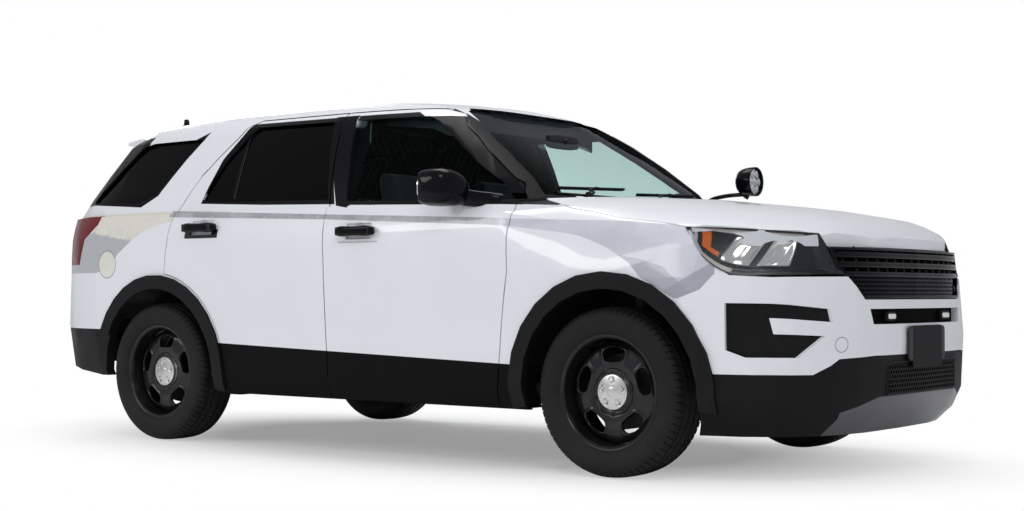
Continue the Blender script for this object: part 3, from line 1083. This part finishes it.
cabinUser = {
    "aerial": ((1e-6, 0.042), (0.009, 0.041), (0.013, 0.037), (0.0145, 0.030), (0.016, 0.010), (0.022, 0.003),
               (0.024, -0.006), (1e-6, -0.006)), "aerialPlace": (-1.68, -0.50, 1.722),
    "mirror": ((0.585, -0.125, 1.545, 0.010, 0.018), (0.580, -0.118, 1.545, 0.017, 0.030),
               (0.578, -0.060, 1.545, 0.020, 0.036), (0.578, 0.060, 1.545, 0.020, 0.036),
               (0.580, 0.118, 1.545, 0.017, 0.030), (0.585, 0.125, 1.545, 0.010, 0.018)),
    "stalk": ((0.592, 0.0, 1.553), (0.600, 0.0, 1.550), (0.612, 0.0, 1.546)),
    "cage": (-0.315, 1.02, 1.60), "wireGap": 0.055, "wireLean": 0.6,
    "rimY": (-0.70, -0.70, -0.66, -0.56, 0.0, 0.56, 0.66, 0.70, 0.70, 0.0, -0.70),
    "rimZ": (1.02, 1.20, 1.40, 1.60, 1.625, 1.60, 1.40, 1.20, 1.02, 1.02, 1.02),
    "windowBar": ((-0.853, -0.9010, 1.262), (-0.853, -0.8775, 1.345), (-0.852, -0.8450, 1.445),
                  (-0.851, -0.8025, 1.555), (-0.850, -0.7765, 1.610)),
    "grip": (0.0265, 0.119, 0.0265), "gripWaist": 0.16,
}
aerial = turnedGrid(cabinUser["aerial"], 28, cabinUser["aerialPlace"], "z", 1)
addPiece("aerial", "body", glossBlack, [ring(aerial)], sharp=50)
mirrorBody = ovalGrid(cabinUser["mirror"], 4.0, steps=30, around=24)
stalk = tubeGrid(curve(cabinUser["stalk"], 8), 0.012, 10)
addPiece("rearViewMirror", "body", cabinPlastic, [ring(mirrorBody), ring(stalk)], sharp=50)
# The partition behind the front seats: an upright frame and crossing wires in a diamond net.
cageX, cageLow, cageHigh = cabinUser["cage"]
wires = []
for lean in (1, -1):
    for foot in np.arange(-1.30, 1.31, cabinUser["wireGap"]):
        z = np.linspace(cageLow, cageHigh, 12)
        y = foot + lean * (z - cageLow) * cabinUser["wireLean"]
        keep = np.abs(y) < np.interp(z, [1.0, 1.2, 1.4, 1.6], [0.70, 0.70, 0.66, 0.56])
        if keep.sum() > 2:
            path = np.stack([np.full(keep.sum(), cageX + 0.004 * lean), y[keep], z[keep]], -1)
            wires.append(ring(tubeGrid(path, 0.0030, 5, upHint=(1, 0, 0))))
rimPath = curve(np.stack([np.full(11, cageX), cabinUser["rimY"], cabinUser["rimZ"]], -1), 90)
wires.append(ring(tubeGrid(rimPath, 0.011, 8, upHint=(1, 0, 0))))
addPiece("partition", "body", blackTrim, wires, sharp=60)

for side, toSide in sidesOf():
    for end, (middle, height, skin) in zip(axles, paintUser["grips"]):
        # A soft bar laid along the door, a little waisted where fingers reach round it.
        grip = softBlock((0, 0, 0), cabinUser["grip"], 4.0, 17, 40)[..., [1, 0, 2]]
        grip[..., 2:] *= 1 - cabinUser["gripWaist"] * np.exp(-((grip[..., :1] / 0.055) ** 4))
        grip += (middle, -skin - 0.0235, height)
        door = f"door_{end}_{side}"
        addPiece(f"doorGrip_{end}_{side}", door, glossBlack, [ring(toSide(grip))], sharp=50)
    bar = tubeGrid(curve(cabinUser["windowBar"], 30), 0.0095, 10, upHint=(0, 1, 0), flat=0.5)
    addPiece(f"windowBar_{side}", f"door_rear_{side}", glossBlack, [ring(toSide(bar))], sharp=50)

print("seats")


def meshNow(item):  # a copy of the object's mesh with its modifiers applied
    return bpy.data.meshes.new_from_object(item.evaluated_get(bpy.context.evaluated_depsgraph_get()))


seatUser = {"cap": 0.016, "fill": 0.7, "pressure": 4.0, "frames": 20, "proud": 0.002}


def softPiece(name, node, voxel):
    # A padded copy of a plain solid: remeshed, shrunk a little, swelled by cloth pressure up to cap, then smoothed.
    user = seatUser
    item = bpy.data.objects.new(name, meshNow(nodes[node]))
    collection.objects.link(item)
    remesh = item.modifiers.new("even", "REMESH")
    remesh.mode = "VOXEL"
    remesh.voxel_size = voxel
    soften = item.modifiers.new("soften", "SMOOTH")
    soften.factor, soften.iterations = 0.5, 6
    item.data = meshNow(item)
    item.modifiers.clear()
    count = len(item.data.vertices)
    start, normal, moved = np.empty(count * 3), np.empty(count * 3), np.empty(count * 3)
    item.data.vertices.foreach_get("co", start)
    item.data.vertices.foreach_get("normal", normal)
    start, normal = start.reshape(-1, 3), normal.reshape(-1, 3)
    item.data.vertices.foreach_set("co", (start - normal * user["cap"] * 0.8).reshape(-1))
    cloth = item.modifiers.new("swell", "CLOTH")
    cloth.settings.use_pressure = True
    cloth.settings.uniform_pressure_force = user["pressure"]
    cloth.settings.quality = 4
    cloth.settings.effector_weights.gravity = 0.0
    cloth.collision_settings.use_collision = False
    cloth.point_cache.frame_start, cloth.point_cache.frame_end = 1, user["frames"]
    for step in range(1, user["frames"] + 1):
        bpy.context.scene.frame_set(step)
    grown = meshNow(item)
    grown.vertices.foreach_get("co", moved)
    moved = moved.reshape(-1, 3) - start
    item.modifiers.clear()
    moved *= np.minimum(1, user["cap"] / np.maximum(np.linalg.norm(moved, axis=1)[:, None], 1e-9))
    moved -= normal * np.maximum((moved * normal).sum(1, keepdims=True) - user["proud"], 0)
    item.data.vertices.foreach_set("co", (start + moved).reshape(-1))
    bpy.data.meshes.remove(grown)
    bpy.context.scene.frame_set(1)
    item.data.update()
    item.data.materials.clear()
    item.data.materials.append(darkCloth)
    item.data.polygons.foreach_set("use_smooth", np.ones(len(item.data.polygons), bool))
    finer = item.modifiers.new("finer", "SUBSURF")
    finer.levels = finer.render_levels = 1
    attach(item, "body")
    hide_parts(node)


softPiece("seatPadding_right", "seat_right", 0.012)
softPiece("seatPadding_left", "seat_left", 0.012)
softPiece("benchPadding", "rear_bench", 0.016)

print("stage")
stageUser = {
    "floorHalf": 30.0, "floorColour": 0.97, "floorGlow": 0.30, "fade": (0.62, 1.25), "fadeShape": (0.16, 0.42),
    "worldColour": (0.93, 0.95, 1.0), "worldStrength": 0.50,
}
half = stageUser["floorHalf"]
mesh = bpy.data.meshes.new("floor")
mesh.from_pydata([(-half, -half, 0), (half, -half, 0), (half, half, 0), (-half, half, 0)], [], [(0, 1, 2, 3)])
mesh.update()
floor = bpy.data.objects.new("floor", mesh)
collection.objects.link(floor)
floorMaterial, tree, shader = newMaterial("paleFloor")
shader.inputs["Base Color"].default_value = (stageUser["floorColour"],) * 3 + (1,)
shader.inputs["Roughness"].default_value = 0.7
# Far from the car the camera sees the floor as the white of the backdrop, so that no horizon shows.
x, y, z, place = placeOf(tree)
far = ((x * x) * stageUser["fadeShape"][0] + (y * y) * stageUser["fadeShape"][1]).math("SQRT")
glow = tree.nodes.new("ShaderNodeEmission")
path = tree.nodes.new("ShaderNodeLightPath")
mix = tree.nodes.new("ShaderNodeMixShader")
faded = far.ramp(*stageUser["fade"], stageUser["floorGlow"], 1.0)
link(faded * Field(tree, path.outputs["Is Camera Ray"]), mix.inputs[0])
tree.links.new(shader.outputs[0], mix.inputs[1])
tree.links.new(glow.outputs[0], mix.inputs[2])
tree.links.new(mix.outputs[0], tree.nodes["Material Output"].inputs[0])
floor.data.materials.append(floorMaterial)

# The world lights softly, and is plain white where the camera sees it, also through glass.
world = bpy.data.worlds.new("studio")
bpy.context.scene.world = world
world.use_nodes = True
tree = world.node_tree
lit = tree.nodes["Background"]
lit.inputs[0].default_value = (*stageUser["worldColour"], 1)
lit.inputs[1].default_value = stageUser["worldStrength"]
white = tree.nodes.new("ShaderNodeBackground")
white.inputs[0].default_value = (1, 1, 1, 1)
white.inputs[1].default_value = 1.0
mix = tree.nodes.new("ShaderNodeMixShader")
path = tree.nodes.new("ShaderNodeLightPath")
seen = Field(tree, path.outputs["Is Camera Ray"]).high(Field(tree, path.outputs["Is Transmission Ray"]))
link(seen, mix.inputs[0])
tree.links.new(lit.outputs[0], mix.inputs[1])
tree.links.new(white.outputs[0], mix.inputs[2])
tree.links.new(mix.outputs[0], tree.nodes["World Output"].inputs[0])

lampRows = (  # name, place, aim, size, power
    ("keyLamp", (4.5, -5.5, 5.2), (0.3, 0, 0.9), (3.0, 2.0), 115),
    ("sideLamp", (-3.5, -7.0, 3.6), (-0.4, 0, 0.8), (4.0, 1.6), 105),
    ("topLamp", (0.2, 0.6, 5.6), (0, 0, 1.0), (5.0, 2.4), 140),
    ("rearLamp", (-6.5, 4.0, 4.0), (0, 0, 1.0), (3.0, 2.0), 110),
)
for name, place, aim, size, power in lampRows:
    data = bpy.data.lights.new(name, "AREA")
    data.shape = "RECTANGLE"
    data.size, data.size_y = size
    data.energy = power
    lamp = bpy.data.objects.new(name, data)
    collection.objects.link(lamp)
    lamp.location = place
    lamp.rotation_mode = "QUATERNION"
    lamp.rotation_quaternion = (Vector(aim) - Vector(place)).to_track_quat("-Z", "Y")

cameraUser = {  # metres, degrees, and the focal length in pixels of the photograph's width
    "place": (5.286, -6.563, 0.785), "azimuth": 37.436, "elevation": -1.326, "roll": 0.084, "focal": 1599.2,
    "imageWidth": 1024, "sensor": 36.0,
}
azimuth, elevation, roll = (math.radians(cameraUser[key]) for key in ("azimuth", "elevation", "roll"))
back = Vector((math.sin(azimuth) * math.cos(elevation), -math.cos(azimuth) * math.cos(elevation), math.sin(elevation)))
right = (-back).cross(Vector((0, 0, 1))).normalized()
up = right.cross(-back)
rolledRight = right * math.cos(roll) + up * math.sin(roll)
rolledUp = up * math.cos(roll) - right * math.sin(roll)
data = bpy.data.cameras.new("photoCamera")
data.sensor_width = cameraUser["sensor"]
data.lens = cameraUser["focal"] * data.sensor_width / cameraUser["imageWidth"]
camera = bpy.data.objects.new("photoCamera", data)
collection.objects.link(camera)
turn = Matrix((rolledRight, rolledUp, back)).transposed().to_4x4()
camera.matrix_world = Matrix.Translation(Vector(cameraUser["place"])) @ turn
bpy.context.scene.camera = camera
bpy.context.scene.view_settings.view_transform = "Standard"
